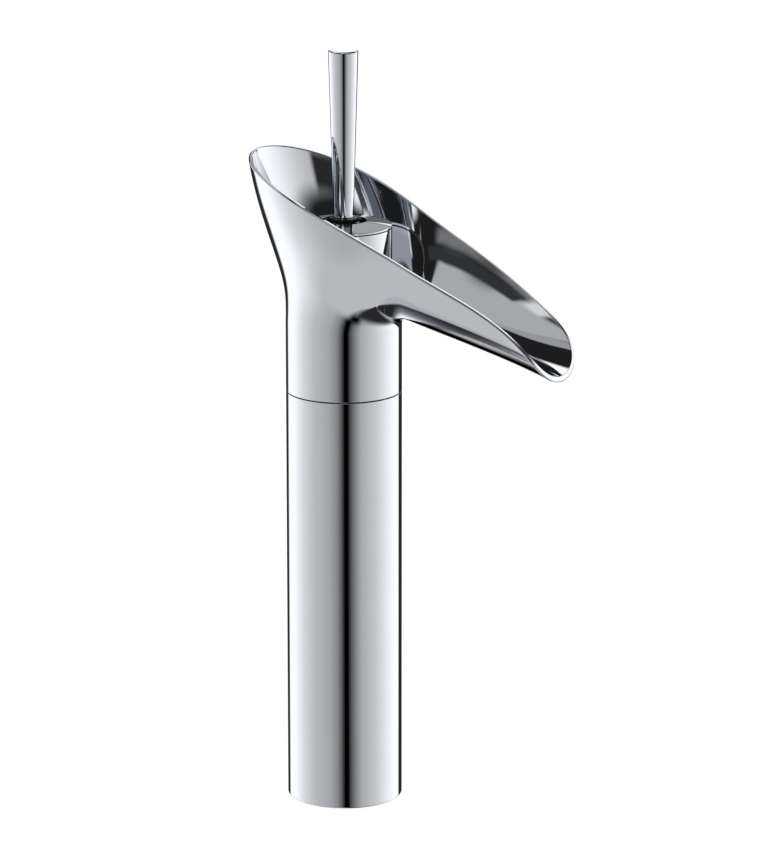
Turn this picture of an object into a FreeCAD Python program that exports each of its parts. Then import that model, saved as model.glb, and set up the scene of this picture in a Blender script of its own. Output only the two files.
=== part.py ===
"""Tall single-lever basin mixer whose body flares like a calla lily into an open trough spout.

Millimetres.  +Z is up, +X is the way the spout points, and the origin is the centre of the
column's foot, on the deck.  Each piece of the product is one solid, or one set of alike small
seals, in its own file.  The sizes grow from the inside out: the risers space the ports, the ports
set the cartridge, the cartridge the tower, the tower the bowl's throat, and the throat the column.
"""

import FreeCAD
import Part
import math
import os

from FreeCAD import Vector

# Column, foot and joint line
COLUMN_WALL = 2.5
JOINT_HEIGHT = 190.0
JOINT_GASKET_THICKNESS = 0.5
JOINT_GASKET_RECESS = 0.3
FOOT_ROUND = 0.6

# Inlet block in the foot
BLOCK_WEB = 2.0
BASE_GASKET_THICKNESS = 2.0
BASE_GASKET_GAP = 1.7
HOSE_THREAD_RADIUS = 4.5
HOSE_THREAD_DEPTH = 12.0
STUD_THREAD_RADIUS = 3.4
STUD_THREAD_DEPTH = 16.0
STUD_OFFSET = 12.5

# Riser tubes and their sockets
RISER_RADIUS = 5.0
RISER_WALL = 1.0
SOCKET_WEB = 1.71
BLOCK_SOCKET_DEPTH = 8.0
BLOCK_SEAL_DEPTH = 3.5
HOUSING_SOCKET_DEPTH = 12.0
HOUSING_SEAL_DEPTH = 5.5
WATERWAY_RADIUS = 2.8
O_RING_RADIUS = 0.8

# Spout shell: every section is an ellipse that stands on the keel line
SPOUT_WALL = 2.5
ELBOW_RISE = 30.0
ELBOW_RADIUS = 5.0
KEEL_DROP = 17.0
MOUTH_RUN = 76.0
RUN_PAST_MOUTH = 8.0
# Each ring: turn of its plane in degrees (elbow) or share of the run (run), then how much taller
# and wider than the column its half-axes are
ELBOW_RINGS = ((0.0, 0.0, 0.0), (20.0, 2.0, 3.0), (40.0, 15.5, 10.0), (60.0, 38.5, 14.5), (80.0, 44.5, 15.5))
RUN_RINGS = ((0.0, 43.0, 15.5), (1 / 3, 25.5, 9.0), (2 / 3, 0.0, 3.0), (1.0, -10.0, 8.0))
ELBOW_PITCH = 30.0
NECK_STEPS = 3
ELBOW_STEPS = 15
RUN_STEPS = 12
RING_POINTS = 16
# Side view of the rim: its back part from the column axis and the elbow's height, its nose from
# the keel's tip
RIM_BACK = ((-60.0, 83.4), (-46.0, 78.2), (0.0, 58.3), (44.0, 33.8))
RIM_NOSE = ((-21.0, 26.8), (-7.1, 12.7), (0.0, 0.0), (3.0, -6.0))
RIM_ROUND = 0.7
RIM_ROUND_SHARE = 0.28

# Floor web, valve housing and what holds it
WATER_GAP = 1.9
WEB_RISE = 16.0
WEB_THICKNESS = 5.0
HOUSING_WALL = 4.1
HOUSING_FLOOR = 15.0
NECK_STEP = 3.7
NECK_LENGTH = 15.0
OUTLET_RADIUS = 3.0
OUTLET_OFFSET = 4.0
OUTLET_RISE = 6.0
LOCK_RING_HEIGHT = 7.0
LOCK_RING_GAP = 1.0
LOCK_SLOT_WIDTH = 4.0
LOCK_SLOT_DEPTH = 2.0
NIPPLE_WALL = 3.5
NIPPLE_BELOW = 16.0
NIPPLE_GAP = 0.5

# Cartridge
SHELL_WALL = 2.1
SHELL_LIP = 2.0
BASE_HEIGHT = 6.0
BASE_EDGE = 2.4
SEAL_HEIGHT = 1.5
SEAL_WALL = 1.4
SEAL_PROUD = 0.3
FIXED_DISC_GAP = 1.8
FIXED_DISC_HEIGHT = 4.0
DISC_PORT_RADIUS = 1.9
DISC_PORT_SHIFT = 2.5
MOVING_DISC_GAP = 0.95
MOVING_DISC_HEIGHT = 3.5
POCKET_WALL = 0.85
POCKET_DEPTH = 2.0
CARRIER_HEIGHT = 4.5
CARRIER_FLOOR = 0.8
ROTOR_FLANGE = 3.6
EAR_RISE = 3.0
EAR_GAP = 0.67
NUT_HEIGHT = 6.0
NUT_SLOT_WIDTH = 3.0
NUT_SLOT_DEPTH = 2.0
SPANNER_SLOTS = 4

# Lever, its ball and its pivot
PIVOT_RISE = 6.0
PIN_RADIUS = 1.5
PIN_INSET = 0.75
FLOW_TILT = 18.0
SPINDLE_RADIUS = 3.5
SPINDLE_TOP_RADIUS = 2.5
SPINDLE_SHANK_RADIUS = 1.6
SPINDLE_SHANK_DROP = 4.5
SPINDLE_SHOULDER_RISE = 7.5
SPINDLE_TIP_RADIUS = 2.2
SPINDLE_FLAT = 0.3
BALL_NUT_GAP = 0.5
BALL_SKIRT_GAP = 2.3
BALL_WALL = 2.2
BALL_SKIRT_RISE = 2.0
BALL_HUB_WALL = 2.0
BALL_SHOWS = 4.5
COLLAR_RADIUS = 6.4
COLLAR_RISE = 0.1
ROD_LENGTH = 75.0
ROD_FOOT_RADIUS = 4.5
ROD_TOP_RADIUS = 6.7
ROD_TOP_ROUND = 0.8
ROD_BORE_DEPTH = 20.0
SCREW_RADIUS = 1.5
SCREW_HEIGHT = 9.0
SCREW_KEY_RADIUS = 0.75
SCREW_KEY_DEPTH = 1.0

# Cap on the housing
CAP_RING_THICKNESS = 0.5
CAP_RING_RECESS = 0.4
CAP_BAND = 0.8
CAP_CROWN = 2.6
CAP_WALL = 1.6
CAP_SKIRT_WALL = 2.6
CAP_SKIRT_GAP = 1.3

# Fits
SLIP_FIT = 0.1
RUNNING_FIT = 0.05
SEAL_FIT = 0.07
FREE_GAP = 0.3
CAP_HOLE_GAP = 0.4
CUT_PAST = 1.0

# Radii and offsets that the pieces share, from the risers outwards
seal_groove = O_RING_RADIUS + SEAL_FIT
socket_bore = RISER_RADIUS + RUNNING_FIT
socket_groove = socket_bore + 2 * seal_groove
port_offset = socket_groove + SOCKET_WEB
port_seal_radius = WATERWAY_RADIUS + SEAL_WALL
base_radius = port_offset + port_seal_radius + SLIP_FIT + BASE_EDGE
shell_bore = base_radius + SLIP_FIT
shell_radius = shell_bore + SHELL_WALL
housing_bore = shell_radius + SLIP_FIT
housing_radius = housing_bore + HOUSING_WALL
neck_radius = housing_radius - NECK_STEP
spout_bore = housing_radius + WATER_GAP
column_radius = spout_bore + SPOUT_WALL
column_bore = column_radius - COLUMN_WALL
insert_radius = column_bore - SLIP_FIT
skirt_bore = shell_radius - CAP_SKIRT_WALL
ball_radius = skirt_bore - BALL_SKIRT_GAP
ball_hollow = ball_radius - BALL_WALL
rotor_neck = math.sqrt((ball_hollow - EAR_GAP) ** 2 - EAR_RISE ** 2)

# Heights that the pieces share, from the deck upwards
block_bottom = BASE_GASKET_THICKNESS
block_top = block_bottom + HOSE_THREAD_DEPTH + BLOCK_WEB + BLOCK_SOCKET_DEPTH
elbow_z = JOINT_HEIGHT + ELBOW_RISE
web_bottom = JOINT_HEIGHT + WEB_RISE
web_top = web_bottom + WEB_THICKNESS
neck_bottom = web_top - NECK_LENGTH
floor_z = web_top + HOUSING_FLOOR
base_top = floor_z + BASE_HEIGHT
fixed_top = base_top + FIXED_DISC_HEIGHT
moving_top = fixed_top + MOVING_DISC_HEIGHT
carrier_top = moving_top + CARRIER_HEIGHT
rotor_bottom = carrier_top + FREE_GAP
rotor_top = rotor_bottom + ROTOR_FLANGE
lip_bottom = rotor_top + SLIP_FIT
shell_top = lip_bottom + SHELL_LIP
nut_top = shell_top + NUT_HEIGHT
pivot_z = shell_top + PIVOT_RISE
housing_top = pivot_z + ball_radius - BALL_SHOWS
cap_bottom = housing_top + CAP_RING_THICKNESS
rod_rise = ball_radius + COLLAR_RISE
rod_bottom = pivot_z + rod_rise
tip_z = moving_top + CARRIER_FLOOR + SPINDLE_TIP_RADIUS + FREE_GAP

# Reaches that follow from the lever's tilt and the keel's drop
tilt = math.radians(FLOW_TILT)
disc_slide = (pivot_z - tip_z) * math.sin(tilt)
moving_disc_radius = shell_bore - disc_slide - MOVING_DISC_GAP
collar_corner = math.hypot(COLLAR_RADIUS, rod_rise)
cap_hole = collar_corner * math.sin(math.atan2(COLLAR_RADIUS, rod_rise) + tilt) + CAP_HOLE_GAP
turn_end = 90.0 + KEEL_DROP
spout_run = MOUTH_RUN + RUN_PAST_MOUTH


def cylinder(radius, low, high, x=0.0, y=0.0):
    """Upright cylinder between two heights."""
    return Part.makeCylinder(radius, high - low, Vector(x, y, low))


def tube(inner, outer, low, high, x=0.0, y=0.0):
    """Upright tube between two heights."""
    hole = cylinder(inner, low - CUT_PAST, high + CUT_PAST, x, y)
    return cylinder(outer, low, high, x, y).cut(hole)


def o_ring(centre_radius, wire_radius, z, x=0.0, y=0.0):
    """Round-wire seal lying flat."""
    return Part.makeTorus(centre_radius, wire_radius, Vector(x, y, z))


def turned(edges):
    """Solid turned about the Z axis from a closed outline in the XZ plane."""
    return Part.Face(Part.Wire(edges)).revolve(Vector(), Vector(0, 0, 1), 360.0)


def rounded(solid, radius, chosen):
    """Fillet on the edges that a test picks."""
    return solid.makeFillet(radius, [edge for edge in solid.Edges if chosen(edge)])


def flat_ring_at(z):
    """Test for edges that lie level at one height."""
    return lambda edge: edge.BoundBox.ZLength < 1e-6 and abs(edge.BoundBox.ZMin - z) < 1e-6


def outermost_at(z, radius):
    """Test for a level round edge of one radius at one height."""
    return lambda edge: flat_ring_at(z)(edge) and abs(edge.BoundBox.XMax - radius) < 1e-4


def ring_pitch(turn, run):
    """Place of a ring along the keel: turned angle at a set pitch, then millimetres of run."""
    return math.radians(turn) * ELBOW_PITCH + max(run, 0.0)


def ring_growth():
    """Curve of ring growth along the keel: value(pitch) is (pitch, taller by, wider by)."""
    points = [Vector(ring_pitch(turn, 0.0), tall, wide) for turn, tall, wide in ELBOW_RINGS]
    points += [Vector(ring_pitch(turn_end, share * spout_run), tall, wide) for share, tall, wide in RUN_RINGS]
    curve = Part.BSplineCurve()
    level = Vector(1, 0, 0)
    fall = (points[-1] - points[-2]) / (points[-1].x - points[-2].x)
    curve.interpolate(Points=points, Parameters=[point.x for point in points],
                      InitialTangent=level, FinalTangent=fall, Scale=False)
    return curve


def keel_frame(turn, run):
    """Point on the keel line and the way its section stands up from there."""
    angle = math.radians(turn)
    up = Vector(-math.cos(angle), 0, math.sin(angle))
    along = Vector(math.sin(angle), 0, math.cos(angle))
    centre = Vector(column_radius + ELBOW_RADIUS, 0, elbow_z)
    return centre + up * ELBOW_RADIUS + along * run, up


def ring_points(growth, turn, run, inset):
    """Points round one elliptical section of the spout, set in from its outer face."""
    _, tall, wide = growth.value(ring_pitch(turn, run))
    half_height = column_radius + tall - inset
    half_width = column_radius + wide - inset
    foot, up = keel_frame(turn, run)
    points = []
    for i in range(RING_POINTS):
        angle = math.pi + 2 * math.pi * i / RING_POINTS
        rise = inset + half_height * (1 - math.cos(angle))
        points.append(foot + up * rise + Vector(0, half_width * math.sin(angle), 0))
    return points


def interpolated(points, parameters, periodic=False):
    """Smooth curve through points at given parameters."""
    curve = Part.BSplineCurve()
    curve.interpolate(Points=points, Parameters=parameters, PeriodicFlag=periodic)
    return curve


def calla_solid(inset, start_z):
    """Closed solid of the calla form: straight neck, tight elbow and drooping run.

    Every section is an ellipse; the poles of the section curves are themselves
    interpolated along the keel, which gives one smooth skin with no seams across it.
    """
    growth = ring_growth()
    places = [(0.0, (start_z - elbow_z) * (1 - i / NECK_STEPS)) for i in range(NECK_STEPS)]
    places += [(turn_end * i / ELBOW_STEPS, 0.0) for i in range(ELBOW_STEPS)]
    places += [(turn_end, spout_run * i / RUN_STEPS) for i in range(RUN_STEPS + 1)]
    pitches = [math.radians(turn) * ELBOW_PITCH + run for turn, run in places]
    around = [float(i) for i in range(RING_POINTS + 1)]
    rings = [interpolated(ring_points(growth, turn, run, inset), around, True) for turn, run in places]
    columns = [interpolated(list(poles), pitches) for poles in zip(*[ring.getPoles() for ring in rings])]
    skin = Part.BSplineSurface()
    skin.buildFromPolesMultsKnots([column.getPoles() for column in columns],
                                  rings[0].getMultiplicities(), columns[0].getMultiplicities(),
                                  rings[0].getKnots(), columns[0].getKnots(), True, False,
                                  rings[0].Degree, columns[0].Degree)
    face = skin.toShape()
    ends = [Part.Face(Part.Wire([edge])) for edge in face.Edges if edge.isClosed()]
    shell = Part.makeShell([face] + ends)
    shell.sewShape()
    return Part.makeSolid(shell)


def rim_keeper():
    """Block under the rim line: what it holds of the spout is kept."""
    tip, _ = keel_frame(turn_end, MOUTH_RUN)
    points = [Vector(x, 0, elbow_z + z) for x, z in RIM_BACK]
    points += [tip + Vector(x, 0, z) for x, z in RIM_NOSE]
    curve = Part.BSplineCurve()
    curve.interpolate(Points=points)
    low = Vector(points[-1].x, 0, JOINT_HEIGHT - CUT_PAST)
    back = Vector(points[0].x, 0, low.z)
    sides = [Part.makeLine(points[-1], low), Part.makeLine(low, back), Part.makeLine(back, points[0])]
    face = Part.Face(Part.Wire([curve.toShape()] + sides))
    reach = 2 * column_radius + spout_run
    face.translate(Vector(0, reach, 0))
    return face.extrude(Vector(0, -2 * reach, 0))


def spout_body():
    """Polished casting: calla shell, floor web for the valve housing and bore for the nipple."""
    shell = calla_solid(0.0, JOINT_HEIGHT).common(rim_keeper())
    shell = shell.cut(calla_solid(SPOUT_WALL, web_top))
    rim = next(face for face in shell.Faces if isinstance(face.Surface, Part.SurfaceOfExtrusion))
    shell = shell.makeFillet(min(RIM_ROUND, SPOUT_WALL * RIM_ROUND_SHARE), rim.Edges)
    shell = shell.cut(cylinder(spout_bore, JOINT_HEIGHT - CUT_PAST, web_bottom))
    return shell.cut(cylinder(neck_radius + SLIP_FIT, web_bottom - CUT_PAST, web_top + CUT_PAST))


def column_sleeve():
    """Plain polished tube with a softened foot edge."""
    top = JOINT_HEIGHT - JOINT_GASKET_THICKNESS
    sleeve = tube(column_bore, column_radius, 0.0, top)
    return rounded(sleeve, FOOT_ROUND, outermost_at(0.0, column_radius))


def joint_gasket():
    """Thin ring that shows as the fine line between column and spout."""
    low = JOINT_HEIGHT - JOINT_GASKET_THICKNESS
    return tube(column_bore + SLIP_FIT, column_radius - JOINT_GASKET_RECESS, low, JOINT_HEIGHT)


def joining_nipple():
    """Ring screwed into the column and the spout across the joint."""
    low = JOINT_HEIGHT - NIPPLE_BELOW
    high = web_bottom - LOCK_RING_HEIGHT - NIPPLE_GAP
    step = JOINT_HEIGHT - JOINT_GASKET_THICKNESS
    bore = insert_radius - NIPPLE_WALL
    above = tube(bore, spout_bore - SLIP_FIT, step, high)
    return tube(bore, insert_radius, low, step).fuse(above).removeSplitter()


def riser_sockets(low, high, seal_z):
    """Cutters for both riser sockets between two heights, with their seal grooves."""
    cutters = []
    for y in (-port_offset, port_offset):
        cutters.append(cylinder(socket_bore, low, high, 0.0, y))
        cutters.append(cylinder(socket_groove, seal_z - seal_groove, seal_z + seal_groove, 0.0, y))
    return cutters


def base_block():
    """Inlet block: hose threads and stud threads below, riser sockets above."""
    block = cylinder(insert_radius, block_bottom, block_top)
    below = block_bottom - CUT_PAST
    cutters = riser_sockets(block_top - BLOCK_SOCKET_DEPTH, block_top + CUT_PAST, block_top - BLOCK_SEAL_DEPTH)
    for y in (-port_offset, port_offset):
        cutters.append(cylinder(HOSE_THREAD_RADIUS, below, block_bottom + HOSE_THREAD_DEPTH, 0.0, y))
        cutters.append(cylinder(WATERWAY_RADIUS, below, block_top, 0.0, y))
    for x in (-STUD_OFFSET, STUD_OFFSET):
        cutters.append(cylinder(STUD_THREAD_RADIUS, below, block_bottom + STUD_THREAD_DEPTH, x))
    return block.cut(cutters)


def base_gasket():
    """Rubber ring round the studs under the inlet block, flush with the foot."""
    return tube(STUD_OFFSET + STUD_THREAD_RADIUS + BASE_GASKET_GAP, insert_radius, 0.0, block_bottom)


def riser(y):
    """Supply tube from the inlet block to the valve housing."""
    low = block_top - BLOCK_SOCKET_DEPTH
    high = neck_bottom + HOUSING_SOCKET_DEPTH - FREE_GAP
    return tube(RISER_RADIUS - RISER_WALL, RISER_RADIUS, low, high, 0.0, y)


def riser_o_rings():
    """One seal at each end of each riser."""
    heights = (block_top - BLOCK_SEAL_DEPTH, neck_bottom + HOUSING_SEAL_DEPTH)
    return Part.makeCompound([o_ring(socket_bore + seal_groove, O_RING_RADIUS, z, 0.0, y)
                              for z in heights for y in (-port_offset, port_offset)])


def housing_seal_radius():
    """Middle of the tower's shoulder, where its seal lies."""
    return (neck_radius + housing_radius) / 2


def valve_housing():
    """Round tower in the bowl: cartridge bore above, waterways and a threaded neck below."""
    tower = cylinder(housing_radius, web_top, housing_top).fuse(cylinder(neck_radius, neck_bottom, web_top))
    outlet_z = web_top + OUTLET_RISE
    outlet_bend = Vector(OUTLET_OFFSET, 0, outlet_z)
    cutters = [cylinder(housing_bore, floor_z, housing_top + CUT_PAST)]
    cutters += riser_sockets(neck_bottom - CUT_PAST, neck_bottom + HOUSING_SOCKET_DEPTH,
                             neck_bottom + HOUSING_SEAL_DEPTH)
    for y in (-port_offset, port_offset):
        cutters.append(cylinder(WATERWAY_RADIUS, neck_bottom, floor_z + CUT_PAST, 0.0, y))
    cutters.append(cylinder(WATERWAY_RADIUS, outlet_z, floor_z + CUT_PAST, OUTLET_OFFSET))
    cutters.append(Part.makeSphere(OUTLET_RADIUS, outlet_bend))
    cutters.append(Part.makeCylinder(OUTLET_RADIUS, housing_radius, outlet_bend, Vector(1, 0, 0)))
    cutters.append(tube(housing_seal_radius() - seal_groove, housing_seal_radius() + seal_groove,
                        web_top - CUT_PAST, web_top + 2 * O_RING_RADIUS))
    return tower.cut(cutters).removeSplitter()


def housing_o_ring():
    """Seal between the tower's shoulder and the floor web."""
    return o_ring(housing_seal_radius(), O_RING_RADIUS, web_top + O_RING_RADIUS)


def spanner_slots(slot):
    """The same slot set evenly round the axis."""
    return [slot.rotated(Vector(), Vector(0, 0, 1), 360.0 * i / SPANNER_SLOTS) for i in range(SPANNER_SLOTS)]


def housing_lock_ring():
    """Slotted nut that pulls the tower down on the floor web."""
    radius = spout_bore - LOCK_RING_GAP
    low = web_bottom - LOCK_RING_HEIGHT
    ring = tube(neck_radius + RUNNING_FIT, radius, low, web_bottom)
    slot = Part.makeBox(LOCK_SLOT_DEPTH + CUT_PAST, LOCK_SLOT_WIDTH, LOCK_RING_HEIGHT,
                        Vector(radius - LOCK_SLOT_DEPTH, -LOCK_SLOT_WIDTH / 2, low))
    return ring.cut(spanner_slots(slot))


def port_places():
    """Centres of the two inlets and the outlet in the housing floor."""
    return ((0.0, -port_offset), (0.0, port_offset), (OUTLET_OFFSET, 0.0))


def disc_port_places():
    """Centres of the same ports in the discs, with the inlets drawn in under the moving disc."""
    inlet = port_offset - DISC_PORT_SHIFT
    return ((0.0, -inlet), (0.0, inlet), (OUTLET_OFFSET, 0.0))


def cartridge_base():
    """Moulded plate that carries the port seals under the fixed disc."""
    plate = cylinder(base_radius, floor_z + SEAL_PROUD, base_top)
    cutters = []
    for x, y in port_places():
        cutters.append(cylinder(WATERWAY_RADIUS, floor_z, base_top + CUT_PAST, x, y))
        cutters.append(cylinder(port_seal_radius + SLIP_FIT, floor_z, floor_z + SEAL_HEIGHT, x, y))
    return plate.cut(cutters)


def port_seals():
    """Rubber rings between the cartridge base and the housing floor."""
    top = floor_z + SEAL_HEIGHT
    return Part.makeCompound([tube(WATERWAY_RADIUS, port_seal_radius, floor_z, top, x, y)
                              for x, y in port_places()])


def fixed_disc():
    """Ceramic disc with the three ports."""
    disc = cylinder(shell_bore - FIXED_DISC_GAP, base_top, fixed_top)
    return disc.cut([cylinder(DISC_PORT_RADIUS, base_top - CUT_PAST, fixed_top + CUT_PAST, x, y)
                     for x, y in disc_port_places()])


def moving_disc():
    """Ceramic disc whose underside pocket joins inlets and outlet once it slides back."""
    disc = cylinder(moving_disc_radius, fixed_top, moving_top)
    pocket = moving_disc_radius - disc_slide - POCKET_WALL
    return disc.cut(cylinder(pocket, fixed_top - CUT_PAST, fixed_top + POCKET_DEPTH, disc_slide))


def disc_carrier():
    """Driver on the moving disc, with the socket for the spindle's tip."""
    carrier = cylinder(moving_disc_radius, moving_top, carrier_top)
    socket = SPINDLE_TIP_RADIUS + FREE_GAP
    return carrier.cut(cylinder(socket, moving_top + CARRIER_FLOOR, carrier_top + CUT_PAST))


def cartridge_shell():
    """Cup that holds the discs and keeps the rotor in by its lip."""
    shell = tube(shell_bore, shell_radius, floor_z, shell_top)
    lip = tube(rotor_neck + RUNNING_FIT, shell_radius, lip_bottom, shell_top)
    return shell.fuse(lip).removeSplitter()


def cartridge_nut():
    """Ring nut that clamps the cartridge in the housing, with spanner slots."""
    opening = ball_radius + BALL_NUT_GAP
    nut = tube(opening, shell_radius, shell_top, nut_top)
    slot = Part.makeBox(shell_radius - opening + 2 * CUT_PAST, NUT_SLOT_WIDTH, NUT_SLOT_DEPTH,
                        Vector(opening - CUT_PAST, -NUT_SLOT_WIDTH / 2, nut_top - NUT_SLOT_DEPTH))
    return nut.cut(spanner_slots(slot))


def cross_cylinder(radius, length):
    """Cylinder along the pivot axis, centred on the lever."""
    return Part.makeCylinder(radius, length, Vector(0, -length / 2, pivot_z), Vector(0, 1, 0))


def lever_rotor():
    """Turntable that turns with the lever and carries its pivot pin in two ears."""
    ear_top = pivot_z + EAR_RISE
    rotor = cylinder(shell_bore - FREE_GAP, rotor_bottom, rotor_top)
    rotor = rotor.fuse(cylinder(rotor_neck, rotor_top, ear_top)).removeSplitter()
    tip_swing = disc_slide + SPINDLE_TIP_RADIUS
    stem_swing = SPINDLE_SHANK_DROP * math.sin(tilt) + SPINDLE_RADIUS
    slot_back = max(tip_swing, stem_swing) + 2 * FREE_GAP
    slot_front = EAR_RISE * math.sin(tilt) + SPINDLE_RADIUS + 2 * FREE_GAP
    half_width = SPINDLE_RADIUS + SLIP_FIT
    slot = Part.makeBox(slot_back + slot_front, 2 * half_width, ear_top - rotor_bottom + 2 * CUT_PAST,
                        Vector(-slot_back, -half_width, rotor_bottom - CUT_PAST))
    return rotor.cut([slot, cross_cylinder(PIN_RADIUS, 2 * shell_bore)])


def pivot_pin():
    """Cross pin that the lever tilts on."""
    return cross_cylinder(PIN_RADIUS, 2 * (rotor_neck - PIN_INSET))


def lever_spindle():
    """Steel stem from the disc carrier through the pivot into the rod."""
    shank_top = pivot_z - SPINDLE_SHANK_DROP
    shoulder = pivot_z + SPINDLE_SHOULDER_RISE
    top = rod_bottom + ROD_BORE_DEPTH - FREE_GAP
    stem = Part.makeSphere(SPINDLE_TIP_RADIUS, Vector(0, 0, tip_z))
    stem = stem.fuse([cylinder(SPINDLE_SHANK_RADIUS, tip_z, shank_top),
                      cylinder(SPINDLE_RADIUS, shank_top, shoulder),
                      cylinder(SPINDLE_TOP_RADIUS, shoulder, top)]).removeSplitter()
    flat = Part.makeBox(SPINDLE_TOP_RADIUS, 2 * SPINDLE_TOP_RADIUS, ROD_BORE_DEPTH,
                        Vector(SPINDLE_FLAT - 2 * SPINDLE_TOP_RADIUS, -SPINDLE_TOP_RADIUS, rod_bottom))
    return stem.cut([cross_cylinder(PIN_RADIUS + RUNNING_FIT, 4 * SPINDLE_RADIUS), flat])


def lever_ball():
    """Black moulded ball that closes the cap's opening, with the collar that the rod stands on."""
    centre = Vector(0, 0, pivot_z)
    skirt_z = pivot_z + BALL_SKIRT_RISE
    ball = Part.makeSphere(ball_radius, centre)
    ball = ball.fuse(cylinder(COLLAR_RADIUS, pivot_z + ball_radius / 2, rod_bottom))
    hollow = Part.makeSphere(ball_hollow, centre)
    hub = cylinder(SPINDLE_TOP_RADIUS + BALL_HUB_WALL, pivot_z + SPINDLE_SHOULDER_RISE, rod_bottom)
    below = cylinder(2 * ball_radius, pivot_z - 2 * ball_radius, skirt_z)
    above = cylinder(2 * ball_radius, rod_bottom, rod_bottom + 2 * ball_radius)
    ball = ball.cut([hollow, below, above]).fuse(hub).removeSplitter()
    return ball.cut(cylinder(SPINDLE_TOP_RADIUS + RUNNING_FIT, skirt_z, rod_bottom + CUT_PAST))


def rod_radius(height):
    """Radius of the tapered rod at a height above its foot."""
    return ROD_FOOT_RADIUS + (ROD_TOP_RADIUS - ROD_FOOT_RADIUS) * height / ROD_LENGTH


def lever_rod():
    """Tapered hand rod, wider at its top, bored for the spindle."""
    rod = Part.makeCone(ROD_FOOT_RADIUS, ROD_TOP_RADIUS, ROD_LENGTH, Vector(0, 0, rod_bottom))
    rod = rounded(rod, ROD_TOP_ROUND, flat_ring_at(rod_bottom + ROD_LENGTH))
    bore = cylinder(SPINDLE_TOP_RADIUS + RUNNING_FIT, rod_bottom - CUT_PAST, rod_bottom + ROD_BORE_DEPTH)
    screw_start = Vector(0, 0, rod_bottom + SCREW_HEIGHT)
    screw = Part.makeCylinder(SCREW_RADIUS, 2 * ROD_TOP_RADIUS, screw_start, Vector(-1, 0, 0))
    return rod.cut([bore, screw])


def lever_set_screw():
    """Socket screw in the back of the rod, bearing on the spindle's flat."""
    seat = SPINDLE_TOP_RADIUS - SPINDLE_FLAT
    length = rod_radius(SCREW_HEIGHT) - seat - SLIP_FIT
    z = rod_bottom + SCREW_HEIGHT
    screw = Part.makeCylinder(SCREW_RADIUS - RUNNING_FIT, length, Vector(-seat, 0, z), Vector(-1, 0, 0))
    hexagon = [Vector(-seat - length - CUT_PAST, SCREW_KEY_RADIUS * math.cos(math.pi * i / 3),
                      z + SCREW_KEY_RADIUS * math.sin(math.pi * i / 3)) for i in range(7)]
    key = Part.Face(Part.makePolygon(hexagon)).extrude(Vector(SCREW_KEY_DEPTH + CUT_PAST, 0, 0))
    return screw.cut(key)


def cap_ring():
    """Dark seal ring that shows as the seam under the cap."""
    return tube(housing_bore, housing_radius - CAP_RING_RECESS, housing_top, cap_bottom)


def dome_cap():
    """Shallow polished cap with a threaded skirt and a round opening for the lever's ball."""
    band_top = cap_bottom + CAP_BAND
    dome_radius = (housing_radius ** 2 + CAP_CROWN ** 2) / (2 * CAP_CROWN)

    def on_dome(radius, drop=0.0):
        rise = CAP_CROWN - dome_radius + math.sqrt(dome_radius ** 2 - radius ** 2)
        return Vector(radius, 0, band_top + rise - drop)

    skirt_bottom = nut_top + CAP_SKIRT_GAP
    edge = on_dome(housing_radius)
    lip = on_dome(cap_hole)
    corners = [lip, on_dome(cap_hole, CAP_WALL), on_dome(skirt_bore, CAP_WALL),
               Vector(skirt_bore, 0, skirt_bottom), Vector(shell_radius, 0, skirt_bottom),
               Vector(shell_radius, 0, cap_bottom), Vector(housing_radius, 0, cap_bottom), edge]
    crown = Part.Arc(edge, on_dome((cap_hole + housing_radius) / 2), lip).toShape()
    return turned([crown] + Part.makePolygon(corners).Edges)


NODES = {
    "spout_body": spout_body,
    "column_sleeve": column_sleeve,
    "joint_gasket": joint_gasket,
    "joining_nipple": joining_nipple,
    "base_block": base_block,
    "base_gasket": base_gasket,
    "hot_riser": lambda: riser(port_offset),
    "cold_riser": lambda: riser(-port_offset),
    "riser_o_rings": riser_o_rings,
    "valve_housing": valve_housing,
    "housing_o_ring": housing_o_ring,
    "housing_lock_ring": housing_lock_ring,
    "cartridge_shell": cartridge_shell,
    "cartridge_base": cartridge_base,
    "port_seals": port_seals,
    "fixed_disc": fixed_disc,
    "moving_disc": moving_disc,
    "disc_carrier": disc_carrier,
    "cartridge_nut": cartridge_nut,
    "lever_rotor": lever_rotor,
    "pivot_pin": pivot_pin,
    "lever_spindle": lever_spindle,
    "lever_ball": lever_ball,
    "lever_rod": lever_rod,
    "lever_set_screw": lever_set_screw,
    "cap_ring": cap_ring,
    "dome_cap": dome_cap,
}


def main():
    os.makedirs("parts", exist_ok=True)
    for name, make in NODES.items():
        shape = make()
        shape.exportStep(f"parts/{name}.step")
        print(f"{name}: {len(shape.Solids)} solid, {shape.Volume:.1f} mm3, valid {shape.isValid()}")


main()
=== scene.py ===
"""Studio picture of a tall single-lever basin mixer with a calla-lily spout.

Every new piece is a surface of two parameters worked out as whole arrays in metres, in the frame of
the construction model: +Z is up, +X is the way the spout points, and the deck is at height zero.
"""

import math

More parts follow.
